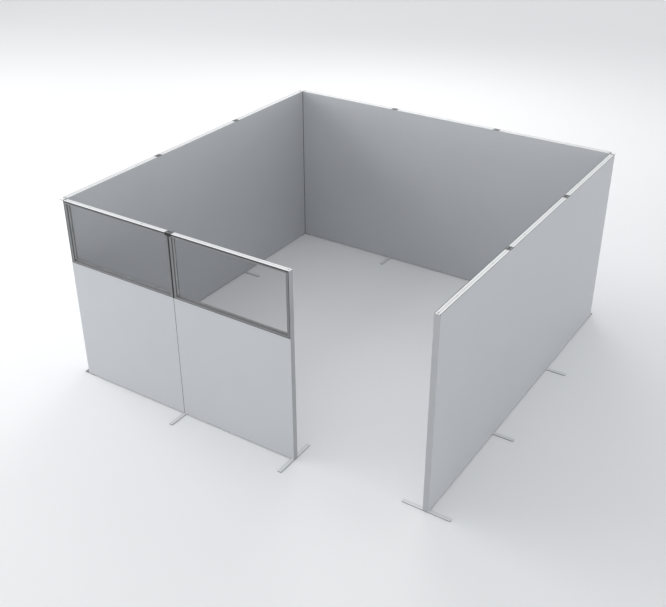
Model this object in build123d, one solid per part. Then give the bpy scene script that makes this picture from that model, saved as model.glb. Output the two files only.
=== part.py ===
from build123d import *
import os
from dataclasses import dataclass

# Office partition: a square room of linked straight modules with an open doorway in its front wall.
# Millimetres, Z up, origin on the floor at the centre of the room.
# A wall is drawn along its own u axis, with v across it towards the room, and is then placed.
# A module is drawn from its own left end, and is then placed along its wall.

# Layout of the walls
module_width = 1000.0
panel_height = 1500.0
wall_thickness = 42.0
module_gap = 1.0
side_wall_module_count = 3
front_wall_module_count = 2
quarter_turn = 90.0

# Faces of the walls
skin_thickness = 3.0
lower_panel_top = 1000.0
lower_panel_seam = 3.0

# Upright stiles, one profile for all modules
stile_width = 26.0
stile_side_wall = 2.0
stile_outer_wall = 2.0
stile_inner_wall = 4.0
rebate_width = 6.5
rebate_depth = 6.0
key_groove_width = 10.0
key_groove_depth = 4.0

# Rails between the stiles
rail_side_wall = 5.0
rail_wall = 2.0
glazed_rail_wall = 4.0
top_rail_height = 19.0
top_rebate_depth = 3.0
top_rebate_height = 7.0
mid_rail_height = 40.0
mid_rail_show = 15.0
bottom_rail_height = 40.0

# Glazing, the rubber channel round it and the beads on both sides of that
glass_thickness = 5.0
gasket_side = 1.25
gasket_lip = 1.0
bead_thickness = 4.0
bead_height = 9.0
glazing_seat = 2.0
glass_bite = 8.0
glass_edge_room = 1.0

# Rubber beads along the inner corners of the room
corner_seal_leg = 3.0

# Capping rail, between the upper edges of the skins
cap_width = 34.0
cap_thickness = 3.0
cap_groove_width = 14.0
cap_groove_depth = 0.8
cap_screw_shares = (0.25, 0.75)
cap_screw_radius = 2.0
cap_screw_head_radius = 3.8
cap_screw_head_height = 1.8
cap_screw_length = 14.0

# Cleats inside the stiles, with a tongue into each rail
cleat_tongue = 30.0
top_cleat_height = 60.0
bottom_cleat_height = 60.0
socket_depth = 30.0

# Link clips over the straight joints
clip_length = 54.0
clip_thickness = 1.5
clip_rib_width = 7.0
clip_rib_inset = 4.0
clip_rib_end_inset = 3.0
clip_rib_height = 0.7
clip_flange_thickness = 1.5
clip_flange_drop = 21.0
pin_radius = 4.0
pin_length = 28.0
pin_tip = 1.0
pin_head_radius = 5.2
pin_head_height = 0.5

# Feet, and the strips between them and the floor
strip_thickness = 1.0
foot_thickness = 4.0
foot_length = 360.0
foot_width = 30.0
foot_corner_radius = 6.0
foot_pad_margin = 19.0
corner_arm = 60.0
foot_screw_spread = 18.0
foot_screw_radius = 2.5
foot_screw_head_radius = 4.6
foot_screw_head_height = 2.2
foot_screw_length = 28.0

# Rubber seals between the bottom rails and the floor
seal_width = 20.0
seal_end_room = 1.0

# Corner heads and their screws
head_key_body = 8.0
head_key_height = 20.0
head_screw_radius = 1.6
head_screw_head_radius = 2.8
head_screw_head_height = 1.6
head_screw_end_room = 0.5

# Covers of the two free ends
trim_thickness = 2.0
trim_drop = 2.0

# Clearances
slip = 0.1
pin_clearance = 0.1
screw_clearance = 0.05
lift_gap = 0.3
overrun = 1.0

# Sizes and levels worked out from the above
frame_depth = wall_thickness - 2 * skin_thickness
half_depth = frame_depth / 2
half_wall = wall_thickness / 2
half_cap = cap_width / 2
gasket_width = glass_thickness + 2 * gasket_side
seat_width = gasket_width + 2 * bead_thickness
glass_opening = bead_height + gasket_lip
module_length = module_width - module_gap
joint_inset = module_gap / 2
frame_base = strip_thickness + foot_thickness
cap_base = panel_height - cap_thickness
groove_floor = panel_height - cap_groove_depth
cavity_start = rebate_width + stile_outer_wall
cavity_end = stile_width - stile_inner_wall
pin_inset = (cavity_start + cavity_end) / 2
pin_offset = joint_inset + pin_inset
rail_ends = (stile_width, module_length - stile_width)
rail_cavity_half = half_depth - rail_side_wall
top_rail_base = cap_base - top_rail_height
mid_rail_top = lower_panel_top + mid_rail_show
mid_rail_base = mid_rail_top - mid_rail_height
bottom_rail_top = frame_base + bottom_rail_height
clip_base = panel_height + lift_gap
trim_reach = trim_thickness - joint_inset

# Hollows of the three rails, where the tongues go
top_hollow = (top_rail_base + glazed_rail_wall, cap_base - rail_wall)
mid_hollow = (mid_rail_base + rail_wall, mid_rail_top - glazed_rail_wall)
bottom_hollow = (frame_base + rail_wall, bottom_rail_top - rail_wall)


@dataclass(frozen=True)
class Wall:
    """A straight wall. Its free end is its start, its far end or neither."""

    name: str
    modules: int
    place: Location
    glazed: bool = False
    free_start: bool = False
    free_end: bool = False

    @property
    def length(self):
        return self.modules * module_width

    @property
    def joints(self):
        return [index * module_width for index in range(1, self.modules)]


half_room = side_wall_module_count * module_width / 2
centre_line = half_room + half_wall
walls = (
    Wall(
        "front", front_wall_module_count, Location((-half_room, -centre_line, 0)),
        glazed=True, free_end=True,
    ),
    Wall(
        "right", side_wall_module_count, Location((centre_line, -half_room, 0), (0, 0, quarter_turn)),
        free_start=True,
    ),
    Wall("back", side_wall_module_count, Location((half_room, centre_line, 0), (0, 0, 2 * quarter_turn))),
    Wall("left", side_wall_module_count, Location((-centre_line, half_room, 0), (0, 0, -quarter_turn))),
)

# Outer corners, each turned so that its two walls lie on its +X and +Y sides
corners = (
    Location((-centre_line, -centre_line, 0)),
    Location((-centre_line, centre_line, 0), (0, 0, -quarter_turn)),
    Location((centre_line, centre_line, 0), (0, 0, 2 * quarter_turn)),
)


def both(half):
    """The span from minus to plus a half width."""
    return (-half, half)


def block(u_span, v_span, z_span):
    """A box between two limits along each axis."""
    (u0, u1), (v0, v1), (z0, z1) = u_span, v_span, z_span
    return Pos((u0 + u1) / 2, (v0 + v1) / 2, (z0 + z1) / 2) * Box(u1 - u0, v1 - v0, z1 - z0)


def area(u_span, v_span):
    """A rectangle between two limits along each axis."""
    (u0, u1), (v0, v1) = u_span, v_span
    return Pos((u0 + u1) / 2, (v0 + v1) / 2) * Rectangle(u1 - u0, v1 - v0)


def upright(u, v, z_span, radius):
    """A vertical round bar, or the cut for a hole."""
    z0, z1 = z_span
    return Pos(u, v, (z0 + z1) / 2) * Cylinder(radius, z1 - z0)


def countersunk(head_radius, head_height, shank_radius, length):
    """A countersunk screw, its head flush at z = 0 and its shank down."""
    head = Pos(0, 0, -head_height / 2) * Cone(shank_radius, head_radius, head_height)
    shank = upright(0, 0, (-length, -head_height), shank_radius)
    socket = Pos(0, 0, -head_height / 2) * extrude(RegularPolygon(shank_radius / 2, 6), head_height / 2)
    return head + shank - socket


def countersunk_hole(head_radius, head_height, shank_radius, length):
    """The cut that a countersunk screw sits in, open above z = 0."""
    wide = head_radius + screw_clearance
    narrow = shank_radius + screw_clearance
    head = Pos(0, 0, -head_height / 2) * Cone(narrow, wide, head_height)
    shank = upright(0, 0, (-length, -head_height), narrow)
    return head + shank + upright(0, 0, (0, overrun), wide)


def stile():
    """A left-hand stile of a module, with its windows for the three tongues."""
    profile = area((0, stile_width), both(half_depth))
    profile -= area((0, rebate_width), (-half_depth, rebate_depth - half_depth))
    profile -= area((0, rebate_width), (half_depth - rebate_depth, half_depth))
    profile -= area((0, key_groove_depth), both(key_groove_width / 2))
    profile -= area((stile_width - glazing_seat, stile_width), both(seat_width / 2))
    profile -= area((cavity_start, cavity_end), both(half_depth - stile_side_wall))
    body = Pos(0, 0, frame_base) * extrude(profile, cap_base - frame_base)
    for hollow in (top_hollow, mid_hollow, bottom_hollow):
        body -= block((cavity_end - overrun, stile_width + overrun), both(rail_cavity_half), hollow)
    return body - head_screw_hole(0)


def head_screw_hole(joint_face):
    """The hole through a stile's nose for the screw of a corner head."""
    level = cap_base - head_key_height / 2
    reach = cavity_start + overrun
    turn = Location((joint_face + reach / 2, 0, level), (0, quarter_turn, 0))
    return turn * Cylinder(head_screw_radius + screw_clearance, reach)


def rail(base, top, hollow):
    """A hollow rail between the stiles of a module."""
    body = block(rail_ends, both(half_depth), (base, top))
    return body - block(
        (rail_ends[0] - overrun, rail_ends[1] + overrun), both(rail_cavity_half), hollow
    )


def glazing_seat_cut(z_span):
    """The groove along a rail that the rubber channel and the beads sit in."""
    return block((rail_ends[0] - overrun, rail_ends[1] + overrun), both(seat_width / 2), z_span)


def cap_screw_places():
    """Where the capping screws stand along a module."""
    return [share * module_width - joint_inset for share in cap_screw_shares]


def top_rail():
    """The rail under the capping, with a dark rebate along its upper edges."""
    body = rail(top_rail_base, cap_base, top_hollow)
    body -= glazing_seat_cut((top_rail_base - overrun, top_rail_base + glazing_seat))
    inner = half_depth - top_rebate_depth
    outer = half_depth + overrun
    for v_span in ((-outer, -inner), (inner, outer)):
        body -= block(
            (rail_ends[0] - overrun, rail_ends[1] + overrun), v_span,
            (cap_base - top_rebate_height, cap_base + overrun),
        )
    for u in cap_screw_places():
        levels = (top_hollow[1] - overrun, cap_base + overrun)
        body -= upright(u, 0, levels, cap_screw_radius + screw_clearance)
    return body


def mid_rail():
    """The sill of the glazing, and the stiffener of the plain modules."""
    body = rail(mid_rail_base, mid_rail_top, mid_hollow)
    return body - glazing_seat_cut((mid_rail_top - glazing_seat, mid_rail_top + overrun))


def bottom_rail():
    """The rail at the foot of a module."""
    return rail(frame_base, bottom_rail_top, bottom_hollow)


def cleat(z_span, hollow):
    """A block in the cavity of a left-hand stile, with its tongue in the rail."""
    core = block(
        (cavity_start + slip, cavity_end - slip), both(half_depth - stile_side_wall - slip), z_span
    )
    tongue = block(
        (cavity_end - slip, stile_width + cleat_tongue), both(rail_cavity_half - slip),
        (hollow[0] + slip, hollow[1] - slip),
    )
    return core + tongue


def top_cleat():
    """The cleat under the capping, with the socket for a link pin."""
    body = cleat((cap_base - top_cleat_height, cap_base), top_hollow)
    levels = (cap_base - socket_depth, cap_base + overrun)
    return body - upright(pin_inset, 0, levels, pin_radius + pin_clearance)


def mid_cleat():
    """The cleat behind the mid rail."""
    return cleat((mid_rail_base, mid_rail_top), mid_hollow)


def bottom_cleat():
    """The cleat at the floor, drilled for two foot screws."""
    body = cleat((frame_base, frame_base + bottom_cleat_height), bottom_hollow)
    reach = strip_thickness + foot_screw_length + overrun
    for v in both(foot_screw_spread / 2):
        body -= upright(pin_inset, v, (frame_base - overrun, reach), foot_screw_radius + screw_clearance)
    return body


def pair(shape):
    """A left-hand piece of a module and its mirror image at the right-hand end."""
    return [shape, Pos(module_length, 0, 0) * mirror(shape, about=Plane.YZ)]


def cap(free_start, free_end):
    """A capping rail, longer over a free end."""
    start = -trim_thickness if free_start else 0
    end = module_length + (trim_thickness if free_end else 0)
    body = block((start, end), both(half_cap), (cap_base, panel_height))
    body -= block(
        (start - overrun, end + overrun), both(cap_groove_width / 2),
        (groove_floor, panel_height + overrun),
    )
    for u in (pin_inset, module_length - pin_inset):
        body -= upright(u, 0, (cap_base - overrun, panel_height), pin_radius + pin_clearance)
    hole = countersunk_hole(cap_screw_head_radius, cap_screw_head_height, cap_screw_radius, cap_screw_length)
    for u in cap_screw_places():
        body -= Pos(u, 0, groove_floor) * hole
    return body


def cap_screws():
    """The two screws of a capping rail."""
    screw = countersunk(cap_screw_head_radius, cap_screw_head_height, cap_screw_radius, cap_screw_length)
    return [Pos(u, 0, groove_floor) * screw for u in cap_screw_places()]


def cores(glazed):
    """The boards between the rails of a module."""
    lower = block(rail_ends, both(half_depth), (bottom_rail_top, mid_rail_base))
    upper = block(rail_ends, both(half_depth), (mid_rail_top, top_rail_base))
    return [lower] if glazed else [lower, upper]


def ring(inset, thickness):
    """A frame's worth of box, its edges a given way inside the opening of a glazed module."""
    return block(
        (rail_ends[0] + inset, rail_ends[1] - inset), both(thickness / 2),
        (mid_rail_top + inset, top_rail_base - inset),
    )


def gasket():
    """The rubber channel round a pane, seated in the rails and stiles."""
    slot_floor = glass_opening - glass_bite - glass_edge_room
    body = ring(-glazing_seat, gasket_width)
    body -= ring(glass_opening, gasket_width + overrun)
    return body - ring(slot_floor, glass_thickness)


def beads():
    """The glazing beads of a pane: on each side two level bars with two upright bars between them."""
    width = glazing_seat + bead_height
    left, right = rail_ends[0] - glazing_seat, rail_ends[1] + glazing_seat
    low, high = mid_rail_top - glazing_seat, top_rail_base + glazing_seat
    near, far = gasket_width / 2, seat_width / 2
    bars = []
    for v_span in ((-far, -near), (near, far)):
        for z_span in ((low, low + width), (high - width, high)):
            bars.append(block((left, right), v_span, z_span))
        for u_span in ((left, left + width), (right - width, right)):
            bars.append(block(u_span, v_span, (low + width, high - width)))
    return bars


def infills():
    """The rubber strips that fill the outer rebates of a glazed module's stiles, above the lower panels."""
    levels = (lower_panel_top, cap_base)
    inner = half_depth - rebate_depth
    sides = ((-half_depth, -inner), (inner, half_depth))
    return [strip for v_span in sides for strip in pair(block((0, rebate_width), v_span, levels))]


def glass():
    """The pane, its edges in the slot of the rubber channel."""
    return ring(glass_opening - glass_bite, glass_thickness)


def lower_panels(index, count):
    """The outer and the inner lower panel of a glazed module, with a seam at each joint."""
    start = lower_panel_seam / 2 - joint_inset if index > 0 else 0
    end = module_length - (lower_panel_seam / 2 - joint_inset if index < count - 1 else 0)
    levels = (frame_base, lower_panel_top)
    outer = block((start, end), (-half_wall, -half_depth), levels)
    inner = block((start, end), (half_depth, half_wall), levels)
    return outer, inner


def skins(wall):
    """The outer and the inner skin of a plain wall, each in one piece."""
    u_span = (joint_inset, wall.length - joint_inset)
    levels = (frame_base, panel_height)
    outer = block(u_span, (-half_wall, -half_depth), levels)
    inner = block(u_span, (half_depth, half_wall), levels)
    return outer, inner


def bar_outline(u_span):
    """The outline of a foot's bar, with rounded tips."""
    outline = area(u_span, both(foot_length / 2))
    return fillet(outline.vertices(), foot_corner_radius)


def foot_spans(wall):
    """The bar's span, the pad's span and the screw rows of each foot of a wall."""
    reach = pin_offset + foot_pad_margin
    spans = [
        (
            (u - foot_width / 2, u + foot_width / 2),
            (u - reach, u + reach),
            (u - pin_offset, u + pin_offset),
        )
        for u in wall.joints
    ]
    if wall.free_start:
        spans.append(((-trim_reach, foot_width - trim_reach), (-trim_reach, reach), (pin_offset,)))
    if wall.free_end:
        outer = wall.length + trim_reach
        bar = (outer - foot_width, outer)
        spans.append((bar, (wall.length - reach, outer), (wall.length - pin_offset,)))
    return spans


def foot(bar_span, pad_span, screw_rows):
    """A bar across the wall with the pad that the stiles stand on."""
    outline = bar_outline(bar_span) + area(pad_span, both(half_wall))
    body = Pos(0, 0, strip_thickness) * extrude(outline, foot_thickness)
    for place in screw_places(screw_rows):
        body -= place * foot_screw_hole()
    return body


def strip(bar_span):
    """The strip between a foot and the floor."""
    return extrude(bar_outline(bar_span), strip_thickness)


def seal_spans(wall):
    """The span of the floor seal under each module of a wall, between the plates that it stands on."""
    reach = pin_offset + foot_pad_margin
    first = reach if wall.free_start else corner_arm
    last = reach if wall.free_end else corner_arm
    starts = [first] + [joint + reach for joint in wall.joints]
    ends = [joint - reach for joint in wall.joints] + [wall.length - last]
    return [(start + seal_end_room, end - seal_end_room) for start, end in zip(starts, ends)]


def floor_seal(span):
    """The rubber seal between a bottom rail and the floor."""
    return block(span, both(seal_width / 2), (0, frame_base))


def screw_places(screw_rows):
    """The places of foot screws, two across the wall in each row, pointing up."""
    return [
        Location((u, v, strip_thickness), (2 * quarter_turn, 0, 0))
        for u in screw_rows
        for v in both(foot_screw_spread / 2)
    ]


def foot_screw():
    """A countersunk screw from a foot up into a cleat."""
    return countersunk(foot_screw_head_radius, foot_screw_head_height, foot_screw_radius, foot_screw_length)


def foot_screw_hole():
    """The countersunk cut for a foot screw."""
    return countersunk_hole(
        foot_screw_head_radius, foot_screw_head_height, foot_screw_radius, foot_screw_length
    )


def clip(flanged):
    """A link clip over a joint at u = 0, as a ribbed plate and its two riveted pins."""
    top = clip_base + clip_thickness
    half_length = clip_length / 2
    body = block(both(half_length), both(half_wall), (clip_base, top))
    rib_outer = half_wall - clip_rib_inset
    rib_inner = rib_outer - clip_rib_width
    for v_span in ((-rib_outer, -rib_inner), (rib_inner, rib_outer)):
        body += block(both(half_length - clip_rib_end_inset), v_span, (top, top + clip_rib_height))
    if flanged:
        inner = half_wall - clip_flange_thickness
        levels = (clip_base - clip_flange_drop, clip_base)
        for v_span in ((-half_wall, -inner), (inner, half_wall)):
            body += block(both(half_length), v_span, levels)
    for u in both(pin_offset):
        body -= upright(u, 0, (clip_base - overrun, top + overrun), pin_radius + screw_clearance)
    return [body] + [Pos(u, 0, 0) * link_pin() for u in both(pin_offset)]


def link_pin():
    """A link pin with its tapered tip and its riveted head."""
    top = clip_base + clip_thickness
    tip_base = clip_base - pin_length
    tip = Pos(0, 0, tip_base + pin_tip / 2) * Cone(pin_radius - pin_tip, pin_radius, pin_tip)
    shank = upright(0, 0, (tip_base + pin_tip, top), pin_radius)
    return tip + shank + upright(0, 0, (top, top + pin_head_height), pin_head_radius)


def end_trim():
    """The cover of a free end at u = 0, its wall on the +u side, with its key in the stile's groove."""
    levels = (frame_base, cap_base - trim_drop)
    cover = block((joint_inset - trim_thickness, joint_inset), both(half_wall), levels)
    key_end = joint_inset + key_groove_depth - slip
    return cover + block((joint_inset, key_end), both(key_groove_width / 2 - slip), levels)


def corner_head():
    """The plate over an outer corner, with a key in the groove of each neighbouring stile."""
    body = block(both(half_cap), both(half_cap), (cap_base, panel_height))
    levels = (cap_base - head_key_height, cap_base)
    face = half_wall + joint_inset
    reach = (half_wall - head_key_body, face + key_groove_depth - slip)
    width = both(key_groove_width / 2 - slip)
    body += block(reach, width, levels)
    body += block(width, reach, levels)
    for place in head_screw_places():
        body -= place * Cylinder(
            head_screw_radius + screw_clearance, 2 * (half_wall + joint_inset + key_groove_depth)
        )
    return body


def head_screw_places():
    """The axes of a corner head's two screws, one into each wall."""
    level = cap_base - head_key_height / 2
    start = half_wall - head_key_body
    return (
        Location((start, 0, level), (0, quarter_turn, 0)),
        Location((0, start, level), (-quarter_turn, 0, 0)),
    )


def head_screw():
    """A pan-head screw, its head on the key and its end inside the stile's nose."""
    length = head_key_body + joint_inset + cavity_start - head_screw_end_room
    return upright(0, 0, (0, length), head_screw_radius) + upright(
        0, 0, (-head_screw_head_height, 0), head_screw_head_radius
    )


def corner_seal():
    """The quarter-round rubber bead along the inner edge where two walls meet."""
    span = (half_wall, half_wall + corner_seal_leg)
    section = area(span, span) & (Pos(half_wall, half_wall) * Circle(corner_seal_leg))
    return Pos(0, 0, frame_base) * extrude(section, cap_base - frame_base)


def corner_outline():
    """The outline of a corner base: the open square and an arm under each wall."""
    reach = (-half_wall, half_wall + corner_arm)
    return area(reach, both(half_wall)) + area(both(half_wall), reach)


def corner_screw_places():
    """The places of a corner base's screws, two under each wall."""
    row = half_wall + pin_offset
    turned = Rot(0, 0, quarter_turn)
    return screw_places((row,)) + [turned * place for place in screw_places((row,))]


def corner_base():
    """The plate under an outer corner that the two wall ends stand on."""
    body = Pos(0, 0, strip_thickness) * extrude(corner_outline(), foot_thickness)
    for place in corner_screw_places():
        body -= place * foot_screw_hole()
    return body


nodes = {}


def keep(name, place, shapes):
    """Adds placed shapes to a node."""
    nodes.setdefault(name, []).extend(place * shape for shape in shapes)


def add_frames():
    """The frame, cleats, capping and cores of every module."""
    stiles = pair(stile())
    rails = {"top_rails": top_rail(), "mid_rails": mid_rail(), "bottom_rails": bottom_rail()}
    cleats = {
        "top_cleats": pair(top_cleat()),
        "mid_cleats": pair(mid_cleat()),
        "bottom_cleats": pair(bottom_cleat()),
    }
    for wall in walls:
        for index in range(wall.modules):
            place = wall.place * Pos(index * module_width + joint_inset, 0, 0)
            first = index == 0
            last = index == wall.modules - 1
            keep(f"{wall.name}_stiles", place, stiles)
            for name, shape in rails.items():
                keep(f"{wall.name}_{name}", place, [shape])
            for name, shapes in cleats.items():
                keep(name, place, shapes)
            keep(f"{wall.name}_capping", place, [cap(first and wall.free_start, last and wall.free_end)])
            keep("capping_screws", place, cap_screws())
            keep(f"{wall.name}_cores", place, cores(wall.glazed))
            if wall.glazed:
                add_glazed_module(place, index, wall.modules)


def add_glazed_module(place, index, count):
    """The pane, its beads and rubber, and the lower panels of a module."""
    outer, inner = lower_panels(index, count)
    keep(f"front_lower_panel_outer_{index + 1}", place, [outer])
    keep(f"front_lower_panel_inner_{index + 1}", place, [inner])
    keep(f"front_glass_{index + 1}", place, [glass()])
    keep("front_gaskets", place, [gasket()] + infills())
    keep("front_glazing_beads", place, beads())


def add_wall_pieces():
    """The skins, feet, floor seals, clips and end covers of every wall."""
    for wall in walls:
        if not wall.glazed:
            outer, inner = skins(wall)
            keep(f"{wall.name}_skin_outer", wall.place, [outer])
            keep(f"{wall.name}_skin_inner", wall.place, [inner])
        for bar_span, pad_span, screw_rows in foot_spans(wall):
            keep(f"{wall.name}_feet", wall.place, [foot(bar_span, pad_span, screw_rows)])
            keep("floor_strips", wall.place, [strip(bar_span)])
            keep("foot_screws", wall.place, [place * foot_screw() for place in screw_places(screw_rows)])
        for span in seal_spans(wall):
            keep("floor_strips", wall.place, [floor_seal(span)])
        for number, joint in enumerate(wall.joints, start=1):
            keep(f"clip_{wall.name}_{number}", wall.place * Pos(joint, 0, 0), clip(wall.glazed))
        if wall.free_start:
            keep("end_trims", wall.place, [end_trim()])
        if wall.free_end:
            keep("end_trims", wall.place * Pos(wall.length, 0, 0), [mirror(end_trim(), about=Plane.YZ)])


def add_corners():
    """The head, seal, base, strip and screws of every outer corner."""
    for place in corners:
        keep("corner_heads", place, [corner_head()])
        keep("corner_seals", place, [corner_seal()])
        keep("corner_head_screws", place, [turn * head_screw() for turn in head_screw_places()])
        keep("corner_bases", place, [corner_base()])
        keep("floor_strips", place, [extrude(corner_outline(), strip_thickness)])
        keep("foot_screws", place, [turn * foot_screw() for turn in corner_screw_places()])


add_frames()
add_wall_pieces()
add_corners()

os.makedirs("parts", exist_ok=True)
for name, shapes in nodes.items():
    solids = [solid for shape in shapes for solid in shape.solids()]
    export_step(Compound(solids), f"parts/{name}.step")
print(len(nodes), "nodes")
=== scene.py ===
"""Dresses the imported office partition: finishes, edge-broken pieces, link clips, studio and camera."""

import logging
import math
from collections.abc import Callable, Iterable, Iterator
from dataclasses import dataclass
from enum import Enum
from functools import cache
from typing import ClassVar

import bmesh
import bpy
from mathutils import Matrix, Vector


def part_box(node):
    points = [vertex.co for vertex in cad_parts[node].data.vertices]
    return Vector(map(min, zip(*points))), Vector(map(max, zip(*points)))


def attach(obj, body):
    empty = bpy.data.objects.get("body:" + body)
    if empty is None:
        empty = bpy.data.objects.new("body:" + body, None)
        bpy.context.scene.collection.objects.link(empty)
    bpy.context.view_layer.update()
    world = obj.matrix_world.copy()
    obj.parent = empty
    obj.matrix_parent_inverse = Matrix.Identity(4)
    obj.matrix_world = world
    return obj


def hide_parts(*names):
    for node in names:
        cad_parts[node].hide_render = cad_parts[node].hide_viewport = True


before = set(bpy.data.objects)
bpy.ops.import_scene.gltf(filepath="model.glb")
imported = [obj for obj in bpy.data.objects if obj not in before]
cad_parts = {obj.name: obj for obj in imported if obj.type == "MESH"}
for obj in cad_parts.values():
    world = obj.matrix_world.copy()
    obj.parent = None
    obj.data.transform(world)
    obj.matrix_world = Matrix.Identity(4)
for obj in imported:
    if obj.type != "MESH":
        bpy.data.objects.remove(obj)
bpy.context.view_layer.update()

log = logging.getLogger("partition")

Pair = tuple[float, float]
Triple = tuple[float, float, float]
Verts = list[bmesh.types.BMVert]
Edge = bmesh.types.BMEdge
Face = bmesh.types.BMFace
EdgeTest = Callable[[Edge], bool]

MM = 0.001
TINY = 1e-6  # Places closer than this are the same.
OVERCUT = 1.0 * MM  # How far cutters stand out of what they cut.
ROOT = "partition"
SIDES = (-1, 1)
ROUNDED_ANGLE = math.radians(30.0)  # Edges sharper than this get rounded.
CREASE_ANGLE = math.radians(40.0)  # Edges sharper than this stay sharp in the shading.
LEVEL_FACE, UPRIGHT_FACE = 0.9, 0.1  # The least and the greatest tilt of such a face's normal, as its z.
NOISE_ROUGHNESS = 0.55
SHADE_STOPS = (0.25, 0.75)
DIE_LINE_STRETCH = 0.004


class Grain(Enum):
    """Which way the fine lines of an extrusion run."""

    ALONG_X = 0
    ALONG_Y = 1
    UPRIGHT = 2


@dataclass(frozen=True)
class Noise:
    """A noise pattern in Object coordinates."""

    scale: float  # Features per metre.
    detail: float  # Octaves.
    stretch: Triple = (1.0, 1.0, 1.0)  # Its scale along each axis, for streaks.


def math_operator(operation: str, reflected: bool = False) -> Callable[["Socket", object], "Socket"]:
    """A Socket's method for an operator.

    Args:
        operation: The Math node's operation.
        reflected: Whether the Socket is the second of its two values.

    Returns:
        The method, which adds a Math node and returns its result.
    """

    def method(self: "Socket", other: object) -> "Socket":
        """Adds the Math node."""
        values = (other, self) if reflected else (self, other)
        return self.shader.add("ShaderNodeMath", {"operation": operation}, dict(enumerate(values)))

    return method


@dataclass
class Socket:
    """A shader output that adds Math nodes when it is used in an expression."""

    shader: "Shader"
    output: bpy.types.NodeSocket

    __add__, __radd__ = math_operator("ADD"), math_operator("ADD", True)
    __sub__, __rsub__ = math_operator("SUBTRACT"), math_operator("SUBTRACT", True)
    __mul__, __rmul__ = math_operator("MULTIPLY"), math_operator("MULTIPLY", True)
    maximum = math_operator("MAXIMUM")


class Shader:
    """The node tree of one material or of the world."""

    def __init__(self, owner: bpy.types.Material | bpy.types.World) -> None:
        """Empties the owner's node tree and keeps it.

        Args:
            owner: The material or the world.
        """
        owner.use_nodes = True
        self.tree = owner.node_tree
        self.tree.nodes.clear()

    def add(
        self, kind: str, settings: dict[str, object] | None = None,
        sockets: dict[str | int, object] | None = None, output: str | int = 0,
    ) -> Socket | None:
        """Adds a node, sets it up and wires it.

        Args:
            kind: The node's type.
            settings: Properties set first. The key "stops" fills a ramp with (place, colour) pairs.
            sockets: Values or Sockets for the node's inputs.
            output: The output to return.

        Returns:
            That output as a Socket, or None where the node has no outputs.
        """
        node = self.tree.nodes.new(kind)
        for key, value in (settings or {}).items():
            if key == "stops":
                self._fill_ramp(node.color_ramp, value)
            else:
                setattr(node, key, value)
        for key, value in (sockets or {}).items():
            if isinstance(value, Socket):
                self.tree.links.new(value.output, node.inputs[key])
            else:
                node.inputs[key].default_value = value
        return Socket(self, node.outputs[output]) if len(node.outputs) else None

    @staticmethod
    def _fill_ramp(ramp: bpy.types.ColorRamp, stops: Iterable[tuple[float, Triple]]) -> None:
        """Sets a ramp's stops, reusing the two that it starts with.

        Args:
            ramp: The ramp.
            stops: Its stops, as (place, colour) pairs.
        """
        for index, (place, colour) in enumerate(stops):
            stop = ramp.elements[index] if index < 2 else ramp.elements.new(place)
            stop.position = place
            stop.color = (*colour, 1.0)

    def noise(self, pattern: Noise) -> Socket:
        """A noise pattern's value.

        Args:
            pattern: The pattern.

        Returns:
            The value, from 0 to 1, as a Socket.
        """
        place = self.add("ShaderNodeTexCoord", output="Object")
        spread = self.add("ShaderNodeMapping", sockets={"Vector": place, "Scale": pattern.stretch})
        return self.add(
            "ShaderNodeTexNoise", {"noise_dimensions": "3D"},
            {"Vector": spread, "Scale": pattern.scale, "Detail": pattern.detail, "Roughness": NOISE_ROUGHNESS},
        )

    def shade(self, colour: Triple, shades: Pair, factor: Socket) -> Socket:
        """A colour that varies from the darkest to the lightest share of itself, by a factor from 0 to 1."""
        stops = tuple((place, tuple(c * share for c in colour)) for place, share in zip(SHADE_STOPS, shades))
        return self.add("ShaderNodeValToRGB", {"stops": stops}, {"Fac": factor})

    def surface(self, sockets: dict[str, object], height: Socket | None = None, relief: float = 0.0) -> None:
        """Ends the tree with a Principled surface.

        Args:
            sockets: Values or Sockets of the Principled node.
            height: The relief's height, from 0 to 1.
            relief: How many metres that height spans.
        """
        if height is not None:
            bump = self.add("ShaderNodeBump", sockets={"Height": height, "Distance": relief, "Strength": 1.0})
            sockets = {**sockets, "Normal": bump}
        shaded = self.add("ShaderNodeBsdfPrincipled", sockets=sockets)
        self.add("ShaderNodeOutputMaterial", sockets={"Surface": shaded})


@dataclass(frozen=True)
class Finish:
    """A named finish. Its kinds below say how a surface varies."""

    name: str  # The material's name.
    slot: str  # A slot name.
    colour: Triple  # The middle colour.
    roughness: float  # The middle roughness.

    fine: ClassVar[Noise]  # The noise of the relief.
    broad: ClassVar[Noise | None] = None  # The noise of the tone, or None where the fine one does both.
    speckle: ClassVar[float] = 0.0  # The fine noise's part of the tone; the broad one makes up the rest.
    shades: ClassVar[Pair]  # The darkest and the lightest share of the colour.
    gloss: ClassVar[Pair]  # How far the roughness starts under its middle, and how far it spans.
    gloss_by_fine: ClassVar[bool] = False  # Whether it follows the fine noise.
    relief: ClassVar[float] = 0.0  # How many metres the relief spans, or 0 for none.
    fixed: ClassVar[dict[str, float]] = {}  # The other sockets of the surface.

    def dress(self, shader: Shader) -> None:
        """Builds the finish's nodes.

        Args:
            shader: The node tree that they are added to.
        """
        fine = shader.noise(self.fine)
        broad = shader.noise(self.broad) if self.broad else fine
        tone = self.speckle * fine + (1.0 - self.speckle) * broad if self.speckle else broad
        under, span = self.gloss
        sockets = {
            "Base Color": shader.shade(self.colour, self.shades, tone),
            "Roughness": (self.roughness - under) + span * (fine if self.gloss_by_fine else broad),
            **self.fixed,
        }
        shader.surface(sockets, fine if self.relief else None, self.relief)


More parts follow.
